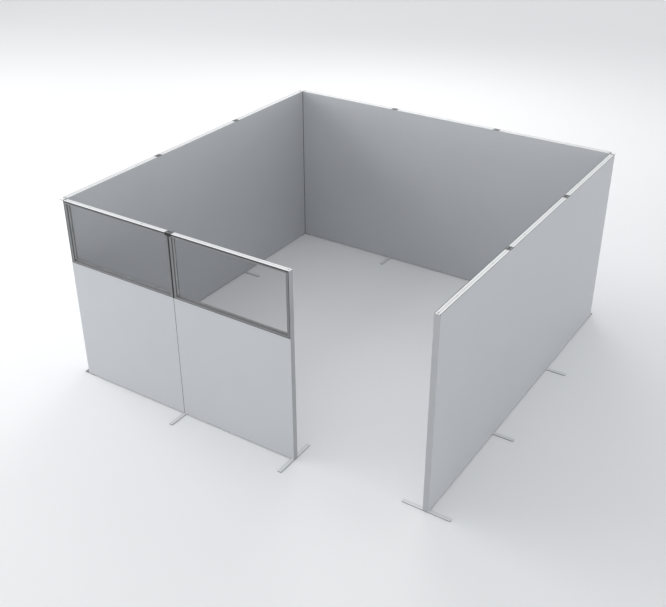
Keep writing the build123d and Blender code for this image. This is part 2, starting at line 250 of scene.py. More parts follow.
class Laminate(Finish):
    """Light grey laminate: a cloudy tone, a fine speckle and a shallow pressed grain."""

    fine, broad, speckle = Noise(650.0, 2.0), Noise(2.2, 3.0), 0.4
    shades, gloss, relief = (0.975, 1.025), (0.05, 0.1), 0.03 * MM
    fixed = {"Specular IOR Level": 0.4}


class PowderCoat(Finish):
    """Powder-coated metal: a light orange peel, a faint cloud and small gloss changes."""

    fine, broad = Noise(420.0, 1.0), Noise(5.0, 2.0)
    shades, gloss, gloss_by_fine, relief = (0.97, 1.02), (0.06, 0.12), True, 0.04 * MM


@dataclass(frozen=True)
class Anodised(Finish):
    """Satin anodised extrusion, with fine die lines along its length in tone, gloss and relief."""

    grain: Grain = Grain.UPRIGHT

    broad, speckle = Noise(6.0, 2.0), 0.7
    shades, gloss, gloss_by_fine, relief = (0.93, 1.06), (0.05, 0.1), True, 0.015 * MM
    fixed = {"Metallic": 0.35}

    @property
    def fine(self) -> Noise:
        """The die lines."""
        stretch = tuple(DIE_LINE_STRETCH if axis == self.grain.value else 1.0 for axis in range(3))
        return Noise(900.0, 3.0, stretch)


class Rubber(Finish):
    """Black rubber: fine pores and a paler dusty bloom in patches."""

    fine, broad = Noise(1100.0, 2.0), Noise(30.0, 4.0)
    shades, gloss, relief = (0.75, 1.7), (0.1, 0.2), 0.05 * MM
    fixed = {"Specular IOR Level": 0.2}


class TintedGlass(Finish):
    """Lightly tinted flat glass: a dark clear film at each face, with faint wipe marks in its gloss."""

    fine = Noise(7.0, 4.0, (1.0, 1.0, 0.35))
    shades, gloss = (0.9, 1.1), (0.02, 0.05)
    fixed = {"Alpha": 0.08, "IOR": 1.5, "Specular IOR Level": 0.2}


class MouldedPlastic(Finish):
    """Moulded plastic: a fine eroded tool texture with a slight tone change."""

    fine, broad = Noise(1500.0, 2.0), Noise(60.0, 2.0)
    shades, gloss, gloss_by_fine, relief = (0.85, 1.2), (0.08, 0.16), True, 0.04 * MM
    fixed = {"Specular IOR Level": 0.2}


class PlainMetal(Finish):
    """Turned or cast metal: a fine tooth and a cloudy oxide tone."""

    fine, broad = Noise(1400.0, 3.0), Noise(90.0, 3.0)
    shades, gloss, relief = (0.85, 1.12), (0.08, 0.16), 0.02 * MM
    fixed = {"Metallic": 0.9}


class PressedBoard(Finish):
    """Pressed fibre board: fibres lying flat and a mottled tone."""

    fine = Noise(260.0, 4.0, (1.0, 1.0, 0.3))
    shades, gloss, relief = (0.75, 1.2), (0.05, 0.1), 0.3 * MM


class Palette:
    """The finishes of the partition."""

    SKIN = Laminate("laminate_grey", "wall_skin", (0.50, 0.51, 0.53), 0.5)
    # Near black: painted shade on the sheets' edges, for the shadow gap under the capping.
    SKIN_EDGE_SHADE = PressedBoard("laminate_edge_painted_shade", "wall_skin", (0.045, 0.044, 0.043), 0.8)
    CAPPING = PowderCoat("powder_white", "white_capping", (0.87, 0.875, 0.88), 0.4)
    # A darker white: painted shade on the floor of the capping's groove.
    GROOVE_SHADE = PowderCoat("powder_groove_painted_shade", "white_capping", (0.72, 0.725, 0.73), 0.5)
    HEAD = PowderCoat("powder_head_white", "white_capping", (0.90, 0.905, 0.91), 0.4)
    # Near black: painted shade on the corner heads' sides and sheets, and in the capping's holes.
    DARK_PAINTED_SHADE = PowderCoat("powder_painted_shade", "white_capping", (0.03, 0.03, 0.031), 0.6)
    TRIM = PowderCoat("powder_pale_grey", "trim_light", (0.395, 0.4, 0.415), 0.45)
    FOOT = PowderCoat("powder_foot_pale", "foot_steel", (0.75, 0.76, 0.77), 0.42)
    # Near black: painted shade on the sides of the feet and corner plates.
    FOOT_SIDE_SHADE = PowderCoat("powder_foot_painted_shade", "foot_steel", (0.03, 0.03, 0.032), 0.6)
    # The corner bases' own grey, darkened further as painted shade in the corner notch.
    BASE_GREY_AND_SHADE = PowderCoat("powder_base_grey_and_shade", "foot_steel", (0.30, 0.303, 0.31), 0.5)
    EXTRUSION = {
        grain: Anodised(
            f"anodised_{grain.name.lower()}", "anodised_frame",
            (0.19, 0.193, 0.198) if grain is Grain.UPRIGHT else (0.215, 0.218, 0.224), 0.38, grain,
        )
        for grain in Grain
    }
    # Lighter than the level extrusions: painted light that lifts the shade in the glazing's side reveals.
    BEAD_LIGHTENED = Anodised("anodised_bead", "anodised_frame", (0.36, 0.364, 0.37), 0.38)
    # Grey rather than black: painted light that lifts the shade in the glazing's reveals.
    CHANNEL_LIGHTENED = Rubber("rubber_channel_painted_light", "rubber", (0.32, 0.322, 0.326), 0.65)
    # Black rubber of the floor strips and seals, also used as painted shade in the glazed stiles' rebates and under
    # the front capping.
    RUBBER_AND_SHADE = Rubber("rubber_black_and_painted_shade", "rubber", (0.025, 0.025, 0.026), 0.7)
    GLASS = TintedGlass("glass_tinted", "tinted_glass", (0.035, 0.036, 0.038), 0.06)
    CLIP = MouldedPlastic("plastic_clip_dark", "clip_dark", (0.025, 0.025, 0.026), 0.45)
    RIB = MouldedPlastic("plastic_rib_grey", "clip_dark", (0.33, 0.33, 0.34), 0.5)
    PIN = PlainMetal("steel_pin", "clip_dark", (0.22, 0.22, 0.23), 0.35)
    DARK_SCREW = PlainMetal("steel_blackened", "screw_dark", (0.10, 0.10, 0.105), 0.4)
    SCREW = PlainMetal("steel_plain", "screw_steel", (0.5, 0.5, 0.51), 0.35)
    CLEAT = PlainMetal("aluminium_cast", "cleat_metal", (0.45, 0.45, 0.46), 0.5)
    BOARD = PressedBoard("board_pressed", "core_board", (0.34, 0.29, 0.2), 0.85)


@cache
def material_of(finish: Finish) -> bpy.types.Material:
    """The material of a finish, made once.

    Args:
        finish: The finish.

    Returns:
        Its material.
    """
    material = bpy.data.materials.new(finish.name)
    finish.dress(Shader(material))
    return material


def turned(degrees: float, axis: str = "Z") -> Matrix:
    """A turn about an axis."""
    return Matrix.Rotation(math.radians(degrees), 4, axis)


@dataclass(frozen=True)
class Run:
    """A straight wall, drawn along u with v towards the room."""

    name: str  # The wall's name, as in its nodes.
    start: Pair  # Where its u axis starts on the floor.
    turn: float  # Its u axis' turn from +X, in degrees.
    modules: int  # How many modules it has.
    free_start: bool = False  # Whether nothing stands against its start.
    free_end: bool = False  # Whether nothing stands against its far end.

    @property
    def grain(self) -> Grain:
        """Which way its level extrusions run."""
        return Grain.ALONG_X if self.turn % 180 == 0 else Grain.ALONG_Y

    @property
    def glazed(self) -> bool:
        """Whether its upper part is glass."""
        return self.name == "front"

    def place(self, u: float = 0.0) -> Matrix:
        """The matrix that takes a shape drawn at u = 0 to its place along the wall."""
        return Matrix.Translation((*self.start, 0.0)) @ turned(self.turn) @ Matrix.Translation((u, 0.0, 0.0))


@dataclass(frozen=True)
class Layout:
    """The lines and levels that the walls share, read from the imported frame."""

    module: float  # The pitch of the modules.
    gap: float  # The gap between neighbouring frames.
    pin_inset: float  # From a module's line to its link pin.
    wall: float  # The walls' thickness.
    skin: float  # A skin's thickness.
    half_room: float  # Half of the room's inner width.
    strip_top: float  # The top of the floor strips.
    foot_top: float  # The top of the feet.
    cap: float  # The capping's width.
    cap_base: float  # The underside of the capping.
    top: float  # The top of the capping.

    @classmethod
    def read(cls) -> "Layout":
        """Reads the sizes from the boxes of the CAD nodes.

        Returns:
            The layout.
        """
        inner_low, inner_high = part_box("right_skin_inner")
        outer_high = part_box("right_skin_outer")[1]
        capping_low, capping_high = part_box("right_capping")
        base_low, base_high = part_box("corner_bases")
        return cls(
            module=1.0,
            gap=1.0 * MM,
            pin_inset=15.75 * MM,
            wall=outer_high.x - inner_low.x,
            skin=inner_high.x - inner_low.x,
            half_room=inner_low.x,
            strip_top=base_low.z,
            foot_top=base_high.z,
            cap=capping_high.x - capping_low.x,
            cap_base=capping_low.z,
            top=capping_high.z,
        )

    @property
    def frame_length(self) -> float:
        """The length of one module's frame."""
        return self.module - self.gap

    @property
    def half_wall(self) -> float:
        """Half of the walls' thickness."""
        return self.wall / 2

    @property
    def half_core(self) -> float:
        """From a wall's middle to the backs of its skins."""
        return self.wall / 2 - self.skin

    def frames(self, run: Run) -> Iterator[tuple[int, Matrix]]:
        """The number of each module of a wall, and the place where its frame starts."""
        for index in range(run.modules):
            yield index + 1, run.place(index * self.module + self.gap / 2)

    def runs(self) -> tuple[Run, ...]:
        """The four walls.

        Returns:
            The walls, the glazed one first.
        """
        line, edge = self.half_room + self.half_wall, self.half_room
        return (
            Run("front", (-edge, -line), 0.0, 2, free_end=True),
            Run("right", (line, -edge), 90.0, 3, free_start=True),
            Run("back", (edge, line), 180.0, 3),
            Run("left", (-line, edge), 270.0, 3),
        )

    def corners(self) -> dict[str, Matrix]:
        """The outer corners, each turned so that its walls lie on its +X and +Y sides.

        Returns:
            Their places by name.
        """
        line = self.half_room + self.half_wall
        table = {"front_left": (-1, -1, 0.0), "back_left": (-1, 1, -90.0), "back_right": (1, 1, 180.0)}
        return {
            name: Matrix.Translation((x * line, y * line, 0.0)) @ turned(turn)
            for name, (x, y, turn) in table.items()
        }


def new_object(name: str, data: bpy.types.ID) -> bpy.types.Object:
    """Makes an object and puts it in the scene.

    Args:
        name: Its name.
        data: Its mesh, light or camera.

    Returns:
        The object.
    """
    thing = bpy.data.objects.new(name, data)
    bpy.context.scene.collection.objects.link(thing)
    return thing


def is_upright(edge: Edge) -> bool:
    """Whether an edge of a block or a prism stands between its two levels."""
    return abs(edge.verts[0].co.z - edge.verts[1].co.z) > TINY


class Workpiece:
    """A closed shape that is built up, edge-broken and cut, and then delivered to its place."""

    def __init__(self) -> None:
        """Starts empty."""
        self.bm = bmesh.new()
        self.further: list[Finish] = []

    @classmethod
    def box(cls, low: Triple, high: Triple, *rounding: object, place: Matrix = Matrix()) -> "Workpiece":
        """A box, moved to its place and then rounded.

        Args:
            low: Its lowest corner.
            high: Its highest corner.
            rounding: What break_edges takes.
            place: Where it is moved.

        Returns:
            The box.
        """
        work = cls()
        work.move(work.block(low, high), place)
        work.break_edges(*rounding)
        return work

    def block(self, low: Triple, high: Triple) -> Verts:
        """Adds a plain box.

        Args:
            low: Its lowest corner.
            high: Its highest corner.

        Returns:
            Its vertices.
        """
        low, high = Vector(low), Vector(high)
        corners = bmesh.ops.create_cube(self.bm, size=1.0)["verts"]
        bmesh.ops.scale(self.bm, vec=high - low, verts=corners)
        bmesh.ops.translate(self.bm, vec=(low + high) / 2, verts=corners)
        return corners

    def prism(self, outline: Iterable[Pair], low: float, high: float) -> Verts:
        """Adds an outline in u and v raised between two levels.

        Args:
            outline: Its points, in order.
            low: The lower level.
            high: The upper level.

        Returns:
            Its vertices.
        """
        base = [self.bm.verts.new((u, v, low)) for u, v in outline]
        face = self.bm.faces.new(base)
        raised = bmesh.ops.extrude_face_region(self.bm, geom=[face])["geom"]
        tops = [item for item in raised if isinstance(item, bmesh.types.BMVert)]
        bmesh.ops.translate(self.bm, vec=(0.0, 0.0, high - low), verts=tops)
        return base + tops

    def lathe(self, outline: Iterable[Pair], steps: int = 32) -> Verts:
        """Adds a round shape about the z axis.

        Args:
            outline: Its points as (radius, level), the first and last on the axis.
            steps: How many steps go round.

        Returns:
            Its vertices.
        """
        before = set(self.bm.verts)
        points = [self.bm.verts.new((radius, 0.0, level)) for radius, level in outline]
        edges = [self.bm.edges.new(ends) for ends in zip(points, points[1:])]
        bmesh.ops.spin(
            self.bm, geom=points + edges, cent=(0, 0, 0), axis=(0, 0, 1), angle=math.tau,
            steps=steps, use_merge=True, use_duplicate=False,
        )
        made = [vert for vert in self.bm.verts if vert not in before]
        bmesh.ops.remove_doubles(self.bm, verts=made, dist=TINY)
        return [vert for vert in self.bm.verts if vert not in before]

    def move(self, verts: Verts, matrix: Matrix) -> None:
        """Moves some vertices by a matrix."""
        bmesh.ops.transform(self.bm, matrix=matrix, verts=verts)

    def break_edges(self, width: float, segments: int = 2, chosen: EdgeTest | None = None) -> None:
        """Rounds the sharp edges.

        Args:
            width: The width of the rounding.
            segments: How many steps it has.
            chosen: Which edges to take, or None for all the sharp ones.
        """
        self.bm.normal_update()
        sharp = [
            edge for edge in self.bm.edges
            if edge.is_manifold and edge.calc_face_angle(0.0) > ROUNDED_ANGLE
            and (chosen is None or chosen(edge))
        ]
        if sharp:
            bmesh.ops.bevel(
                self.bm, geom=sharp, offset=width, offset_type="OFFSET", segments=segments, profile=0.5,
                affect="EDGES", clamp_overlap=True, material=-1,
            )

    def join(self, other: "Workpiece") -> None:
        """Adds another workpiece's shape to this one, and uses that one up.

        Args:
            other: The other workpiece.
        """
        mesh = bpy.data.meshes.new("joined")
        other.bm.to_mesh(mesh)
        self.bm.from_mesh(mesh)
        other.bm.free()
        bpy.data.meshes.remove(mesh)

    def join_pair(self, u: Pair, v: Pair, z: Pair, *rounding: object) -> None:
        """Adds a rounded box and its mirror image across the middle of the wall.

        Args:
            u: Its span along the wall.
            v: Its span across the wall, on one side.
            z: Its span upwards.
            rounding: What break_edges takes.
        """
        for side in SIDES:
            near, far = sorted(side * value for value in v)
            self.join(Workpiece.box((u[0], near, z[0]), (u[1], far, z[1]), *rounding))

    def as_object(self, name: str) -> bpy.types.Object:
        """The shape so far as an object of its own.

        Args:
            name: Its name.

        Returns:
            The object.
        """
        bmesh.ops.recalc_face_normals(self.bm, faces=self.bm.faces)
        mesh = bpy.data.meshes.new(name)
        self.bm.to_mesh(mesh)
        return new_object(name, mesh)

    def cut(self, tool: "Workpiece") -> None:
        """Takes another workpiece's shape out of this one, and uses that one up.

        Args:
            tool: The other workpiece.
        """
        stock = self.as_object("stock")
        cutter = tool.as_object("cutter")
        taking = stock.modifiers.new("cut", "BOOLEAN")
        taking.operation = "DIFFERENCE"
        taking.solver = "EXACT"
        taking.object = cutter
        seen = stock.evaluated_get(bpy.context.evaluated_depsgraph_get())
        result = bpy.data.meshes.new_from_object(seen)
        self.bm.clear()
        self.bm.from_mesh(result)
        tool.bm.free()
        for thing in (stock, cutter):
            mesh = thing.data
            bpy.data.objects.remove(thing)
            bpy.data.meshes.remove(mesh)
        bpy.data.meshes.remove(result)

    def paint(self, finish: Finish, chosen: Callable[[Face], bool]) -> None:
        """Gives some faces a further finish, once the shape is cut.

        Args:
            finish: The further finish.
            chosen: Which faces take it.
        """
        self.bm.normal_update()
        self.further.append(finish)
        for face in self.bm.faces:
            if chosen(face):
                face.material_index = len(self.further)

    def deliver(
        self, name: str, finish: Finish, node: str, place: Matrix = Matrix(), body: str = ROOT
    ) -> None:
        """Turns the workpiece into a finished piece of the partition.

        Args:
            name: The piece's name.
            finish: Its finish.
            node: The CAD node that it stands for.
            place: From the drawing's axes to the room.
            body: The body that it rides on.
        """
        self.move(self.bm.verts, place)
        bmesh.ops.remove_doubles(self.bm, verts=self.bm.verts, dist=TINY)
        for face in self.bm.faces:
            face.smooth = True
        piece = self.as_object(name)
        self.bm.free()
        piece.data.set_sharp_from_angle(angle=CREASE_ANGLE)
        weighing = piece.modifiers.new("weigh_normals", "WEIGHTED_NORMAL")
        weighing.keep_sharp = True
        for each in (finish, *self.further):
            piece.data.materials.append(material_of(each))
        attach(piece, body)
        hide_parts(node)
        log.info("%s on %s, %d faces", name, body, len(piece.data.polygons))


def round_cutter(outline: Iterable[Pair], centre: Pair, steps: int = 40) -> Workpiece:
    """A round cutter on an upright axis.

    Args:
        outline: Its points as (radius, level), the first and last on the axis.
        centre: Where the axis stands.
        steps: How many sides it has.

    Returns:
        The cutter.
    """
    tool = Workpiece()
    made = tool.lathe(outline, steps)
    tool.move(made, Matrix.Translation((*centre, 0.0)))
    return tool


def hole(radius: float, low: float, high: float, centre: Pair) -> Workpiece:
    """A cutter for a plain round hole between two levels."""
    return round_cutter(((0.0, low), (radius, low), (radius, high), (0.0, high)), centre)


@dataclass
class WallPart:
    """A sub-assembly of the walls."""

    layout: Layout  # The shared lines and levels.


@dataclass
class Capping(WallPart):
    """The capping rails along the tops of the walls."""

    groove_width: float = 14.0 * MM  # The groove along the middle.
    groove_depth: float = 0.8 * MM  # How deep it is.
    edge: float = 0.6 * MM  # The rounding of the long edges.
    screw_places: Pair = (0.25, 0.75)  # Where the screws stand, as shares of a module.
    screw_head: float = 3.85 * MM  # The radius of a screw's seat.
    screw_shank: float = 2.05 * MM  # The radius of its hole.
    seat_depth: float = 1.8 * MM  # How deep the conical seat is.
    seat_steps: int = 32  # How many sides the seat has.
    pin_hole: float = 4.1 * MM  # The radius of a pin hole.
    margin: float = 1.0 * MM  # How far the holes keep at least from the groove's sides and the rail's ends.
    overhang: float = 2.0 * MM  # How far the rail covers a free end's trim.
    corner_gap: float = 4.0 * MM  # How far it stops short of a module's end beside a corner.

    def blank(self, start: float, end: float) -> Workpiece:
        """A length of rail with its long outer edges rounded, before it is drilled.

        Args:
            start: Where it starts along the wall.
            end: Where it ends.

        Returns:
            The blank.
        """
        half, slot = self.layout.cap / 2, self.groove_width / 2
        base, top = self.layout.cap_base, self.layout.top
        floor = top - self.groove_depth
        section = (
            (-half, base), (half, base), (half, top), (slot, top),
            (slot, floor), (-slot, floor), (-slot, top), (-half, top),
        )
        along_u = Matrix(((0, 0, 1, 0), (1, 0, 0, 0), (0, 1, 0, 0), (0, 0, 0, 1)))
        work = Workpiece()
        work.move(work.prism(section, start, end), along_u)
        work.break_edges(self.edge, 2, lambda edge: all(abs(vert.co.y) > half - TINY for vert in edge.verts))
        return work

    def drill(self, work: Workpiece) -> None:
        """Drills the pin holes and the screws' seats of a module's rail.

        Args:
            work: The rail's blank.
        """
        inset = self.layout.pin_inset - self.layout.gap / 2
        low, high = self.layout.cap_base - 2 * OVERCUT, self.layout.top + 2 * OVERCUT
        for u in (inset, self.layout.frame_length - inset):
            work.cut(hole(self.pin_hole, low, high, (u, 0.0)))
        floor = self.layout.top - self.groove_depth
        seat = (
            (0.0, low), (self.screw_shank, low), (self.screw_shank, floor - self.seat_depth),
            (self.screw_head, floor), (self.screw_head, high), (0.0, high),
        )
        for share in self.screw_places:
            centre = (share * self.layout.module - self.layout.gap / 2, 0.0)
            work.cut(round_cutter(seat, centre, self.seat_steps))

    def paint(self, work: Workpiece, start: float, end: float) -> None:
        """Paints shade into the groove's floor, a darker white, and into the walls of the holes, near black.

        Args:
            work: The rail, once it is drilled.
            start: Where it starts.
            end: Where it ends.
        """
        floor = self.layout.top - self.groove_depth

        def on_floor(face: Face) -> bool:
            """Whether a face is part of the groove's floor."""
            return face.normal.z > LEVEL_FACE and abs(face.calc_center_median().z - floor) < 10 * TINY

        def in_hole(face: Face) -> bool:
            """Whether a face is part of a hole's wall.

            Args:
                face: The face.

            Returns:
                Whether it is upright, between the groove's sides and away from the rail's ends.
            """
            place = face.calc_center_median()
            across = abs(place.y) < self.groove_width / 2 - self.margin
            along = start + self.margin < place.x < end - self.margin
            return across and along and abs(face.normal.z) < UPRIGHT_FACE

        # Painted shade: the groove's floor a darker white, the holes' walls near black.
        work.paint(Palette.GROOVE_SHADE, on_floor)
        work.paint(Palette.DARK_PAINTED_SHADE, in_hole)

    def build(self, run: Run) -> None:
        """Makes the rails of a wall.

        Args:
            run: The wall.
        """
        for number, place in self.layout.frames(run):
            start, end = 0.0, self.layout.frame_length
            if number == 1:
                start = -self.overhang if run.free_start else self.corner_gap
            if number == run.modules:
                end += self.overhang if run.free_end else -self.corner_gap
            work = self.blank(start, end)
            self.drill(work)
            self.paint(work, start, end)
            work.deliver(f"{run.name}_capping_rail_{number}", Palette.CAPPING, f"{run.name}_capping", place)


@dataclass
class Panels:
    """The skins of the plain walls and the lower panels of the glazed front."""

    edge: float = 0.5 * MM  # The rounding of a sheet's edges.
    edge_tilt: float = 0.5  # Faces that are turned from the sheet's plane by more than this share are painted near black, as painted shade along the sheet's edges.

    def build(self) -> None:
        """Makes each sheet from its node's own box."""
        for node in sorted(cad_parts):
            if "_skin_" in node or "_lower_panel_" in node:
                low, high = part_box(node)
                thin = min(range(3), key=lambda axis: high[axis] - low[axis])
                work = Workpiece.box(low, high, self.edge)
                # The edge faces get painted shade, near black.
                work.paint(Palette.SKIN_EDGE_SHADE, lambda face: abs(face.normal[thin]) < self.edge_tilt)
                work.deliver(f"{node}_sheet", Palette.SKIN, node)


@dataclass
class Glazing(WallPart):
    """The panes, the rubber round them and the beads that hold them on both sides."""

    arris: float = 0.6 * MM  # The ground edge of a pane.
    bead_outset: float = 4.0 * MM  # From a pane's edge out to the back of a bead.
    bead_width: float = 11.0 * MM  # A bead's width in the plane of the glass.
    bead_gap: float = 1.25 * MM  # The rubber between a pane and a bead.
    bead_thickness: float = 4.0 * MM  # How far a bead stands out from the rubber.
    slope: float = 2.6 * MM  # The slope along a bead's edge beside the glass.
    edge: float = 0.35 * MM  # The rounding of its other edges.
    lip: float = 1.0 * MM  # How far the rubber channel stands out from under the beads.
    lip_edge: float = 0.45 * MM  # The rounding of that lip.
    slot_room: float = 1.0 * MM  # From a pane's edge out to the floor of the channel's slot.
    shade_strip_width: float = 6.5 * MM  # The width of the black strips in the stiles' outer rebates, painted shade for the open rebates.
    shade_strip_depth: float = 6.0 * MM  # The depth of those strips.
    shadow_line_height: float = 8.0 * MM  # The height of the black strips along the top rails, a painted shadow line under the capping.
    shadow_line_gap: float = 0.5 * MM  # From those strips up to the capping.

    def bead(self, start: Pair, end: Pair, depth: Pair, inward: Pair) -> Workpiece:
        """A bead with a slope towards the glass.

        Args:
            start: Its lowest corner in x and z.
            end: Its highest corner in x and z.
            depth: Its side by the rubber and its outer side, in y.
            inward: The direction towards the middle of the pane, in x and z.

        Returns:
            The bead.
        """
        near, far = depth
        middle = ((start[0] + end[0]) / 2, (start[1] + end[1]) / 2)

        def by_glass(edge: Edge) -> bool:
            """Whether an edge is the outer one beside the glass."""
            return all(
                abs(vert.co.y - far) < TINY
                and (vert.co.x - middle[0]) * inward[0] + (vert.co.z - middle[1]) * inward[1] > self.edge
                for vert in edge.verts
            )

        low, high = (start[0], min(depth), start[1]), (end[0], max(depth), end[1])
        work = Workpiece.box(low, high, self.slope, 1, by_glass)
        work.break_edges(self.edge, 1, lambda edge: all(abs(vert.co.y - near) > TINY for vert in edge.verts))
        return work

    def beads(self, node: str, number: int) -> None:
        """Makes the four beads on either side of a pane: two level ones, and two upright ones between them.

        Args:
            node: The pane's node.
            number: The pane's number, for the names.
        """
        low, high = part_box(node)
        near = (high.y - low.y) / 2 + self.bead_gap
        line = (low.y + high.y) / 2
        out, wide = self.bead_outset, self.bead_width
        left, right, base, top = low.x - out, high.x + out, low.z - out, high.z + out
        # The upright beads take a lighter finish: painted light against the shade in the side reveals.
        level, upright = Palette.EXTRUSION[Grain.ALONG_X], Palette.BEAD_LIGHTENED
        bars = (
            ("sill", level, (left, base), (right, base + wide), (0, 1)),
            ("head", level, (left, top - wide), (right, top), (0, -1)),
            ("left", upright, (left, base + wide), (left + wide, top - wide), (1, 0)),
            ("right", upright, (right - wide, base + wide), (right, top - wide), (-1, 0)),
        )
        for face, side in (("outer", -1), ("inner", 1)):
            depth = (line + side * near, line + side * (near + self.bead_thickness))
            for name, finish, start, end, inward in bars:
                work = self.bead(start, end, depth, inward)
                work.deliver(f"front_bead_{number}_{face}_{name}", finish, "front_glazing_beads")

    def channel(self, node: str, number: int) -> None:
        """Makes the rubber channel round a pane, with its slot and its rounded lips.

        Args:
            node: The pane's node.
            number: The pane's number, for the names.
        """
        low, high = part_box(node)
        line, glass = (low.y + high.y) / 2, high.y - low.y
        full = glass + 2 * self.bead_gap

        def around(outset: float, thickness: float) -> Workpiece:
            """A block in the pane's plane.

            Args:
                outset: How far its edges lie outside the pane's.
                thickness: How thick it is.

            Returns:
                The block.
            """
            work = Workpiece()
            work.block(
                (low.x - outset, line - thickness / 2, low.z - outset),
                (high.x + outset, line + thickness / 2, high.z + outset),
            )
            return work

        inset = self.bead_width - self.bead_outset + self.lip
        work = around(self.bead_outset, full)
        work.cut(around(-inset, full + 2 * OVERCUT))
        work.cut(around(self.slot_room, glass))
        left, right, base, top = low.x + inset, high.x - inset, low.z + inset, high.z - inset

        def on_lip(edge: Edge) -> bool:
            """Whether an edge runs along a lip's outer side."""
            return all(
                abs(abs(vert.co.y - line) - full / 2) < TINY
                and left - TINY < vert.co.x < right + TINY and base - TINY < vert.co.z < top + TINY
                for vert in edge.verts
            )

        work.break_edges(self.lip_edge, 2, on_lip)
        # The channel's grey is painted light against the shade in the reveals.
        work.deliver(f"front_channel_{number}", Palette.CHANNEL_LIGHTENED, "front_gaskets")

    def rebate_shade_strips(self, run: Run) -> None:
        """Makes the black strips in the outer rebates of the glazed stiles, above the lower panels: painted shade
        where the rebates fall dark.

        Args:
            run: The glazed wall.
        """
        half, width = self.layout.half_core, self.shade_strip_width
        levels = (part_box("front_lower_panel_outer_1")[1].z, self.layout.cap_base)
        for number, place in self.layout.frames(run):
            for end, start in (("left", 0.0), ("right", self.layout.frame_length - width)):
                work = Workpiece()
                work.join_pair((start, start + width), (half, half - self.shade_strip_depth), levels, self.edge)
                work.deliver(f"front_rebate_shade_{number}_{end}", Palette.RUBBER_AND_SHADE, "front_gaskets", place)

    def rail_shadow_lines(self, run: Run) -> None:
        """Makes the black strips along the top rails, right under the capping: a painted shadow line there.

        Args:
            run: The glazed wall.
        """
        half, top = self.layout.half_core, self.layout.cap_base - self.shadow_line_gap
        span = (self.shade_strip_width, self.layout.frame_length - self.shade_strip_width)
        for number, place in self.layout.frames(run):
            work = Workpiece()
            work.join_pair(span, (half - self.edge, half + self.edge), (top - self.shadow_line_height, top), self.edge / 2)
            work.deliver(f"front_rail_shadow_line_{number}", Palette.RUBBER_AND_SHADE, "front_gaskets", place)

    def build(self, run: Run) -> None:
        """Makes the panes, channels, beads and the dark strips of painted shade of the glazed wall.

        Args:
            run: The glazed wall.
        """
        panes = [node for node in sorted(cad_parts) if "_glass_" in node]
        for number, node in enumerate(panes, start=1):
            Workpiece.box(*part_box(node), self.arris, 1).deliver(f"{node}_pane", Palette.GLASS, node)
            self.channel(node, number)
            self.beads(node, number)
        self.rebate_shade_strips(run)
        self.rail_shadow_lines(run)


@dataclass
class LinkClips(WallPart):
    """The clips that link neighbouring modules, each with its two pins."""

    length: float = 54.0 * MM  # A clip's length along the wall.
    lift: float = 0.3 * MM  # The gap under its plate.
    plate: float = 1.5 * MM  # The plate's thickness.
    corner: float = 2.5 * MM  # The plate's corner radius.
    corner_steps: int = 5  # How many steps that rounding has.
    edge: float = 0.3 * MM  # The rounding of its edges.
    rib_width: float = 7.0 * MM  # The width of a rib.
    rib_inset: float = 4.0 * MM  # From the plate's edge to a rib.
    rib_end: float = 3.0 * MM  # From the plate's end to a rib's end.
    rib_height: float = 0.7 * MM  # How far a rib stands up.
    rib_round: float = 0.6  # The share of that height that is rounded.
    flange: float = 1.5 * MM  # The thickness of a flange.
    flange_drop: float = 21.0 * MM  # How far a flange hangs.
    pin: float = 4.0 * MM  # A pin's radius.
    pin_length: float = 28.0 * MM  # How far it hangs.
    pin_tip: float = 1.0 * MM  # The taper at its tip.
    head: float = 5.2 * MM  # The radius of its riveted head.
    head_height: float = 0.5 * MM  # How far the head stands up.
    head_rim: float = 0.4  # The share of that height over which its rim is upright.
    head_shoulder: float = 0.8  # The share of it at which its shoulder lies.
    head_round: float = 0.4 * MM  # How far the shoulder lies inside the rim.
    head_crown: float = 0.5  # The share of its radius that is flat on top.

    def body(self, flanged: bool) -> Workpiece:
        """The moulded plate and, in the glazed wall, the two flanges that hang in front of the stiles.

        Args:
            flanged: Whether it has flanges, which go with square corners.

        Returns:
            The plate.
        """
        base = self.layout.top + self.lift
        reach, half = self.length / 2, self.layout.half_wall
        work = Workpiece()
        work.block((-reach, -half, base), (reach, half, base + self.plate))
        if not flanged:
            work.break_edges(self.corner, self.corner_steps, is_upright)
        work.break_edges(self.edge)
        if flanged:
            levels = (base - self.flange_drop, base + self.edge)
            work.join_pair((-reach, reach), (half, half - self.flange), levels, self.edge)
        return work

    def ribs(self) -> Workpiece:
        """The two ribs along the plate's long edges.

        Returns:
            The ribs.
        """
        top = self.layout.top + self.lift + self.plate
        outer = self.layout.half_wall - self.rib_inset
        reach = self.length / 2 - self.rib_end
        work = Workpiece()
        work.join_pair(
            (-reach, reach), (outer, outer - self.rib_width), (top - self.edge, top + self.rib_height),
            self.rib_height * self.rib_round, 3, lambda edge: min(vert.co.z for vert in edge.verts) > top,
        )
        return work

    def pins(self) -> Workpiece:
        """The two riveted pins.

        Returns:
            The pins.
        """
        base = self.layout.top + self.lift
        tip, top, height = base - self.pin_length, base + self.plate, self.head_height
        outline = (
            (0.0, tip), (self.pin - self.pin_tip, tip), (self.pin, tip + self.pin_tip), (self.pin, top),
            (self.head, top), (self.head, top + height * self.head_rim),
            (self.head - self.head_round, top + height * self.head_shoulder),
            (self.head * self.head_crown, top + height), (0.0, top + height),
        )
        work = Workpiece()
        for side in SIDES:
            made = work.lathe(outline)
            work.move(made, Matrix.Translation((side * self.layout.pin_inset, 0.0, 0.0)))
        return work

    def build(self, run: Run) -> None:
        """Makes the clips of a wall.

        Args:
            run: The wall.
        """
        for number in range(1, run.modules):
            node = f"clip_{run.name}_{number}"
            place = run.place(number * self.layout.module)
            self.body(run.glazed).deliver(f"{node}_plate", Palette.CLIP, node, place, node)
            self.ribs().deliver(f"{node}_ribs", Palette.RIB, node, place, node)
            self.pins().deliver(f"{node}_pins", Palette.PIN, node, place, node)


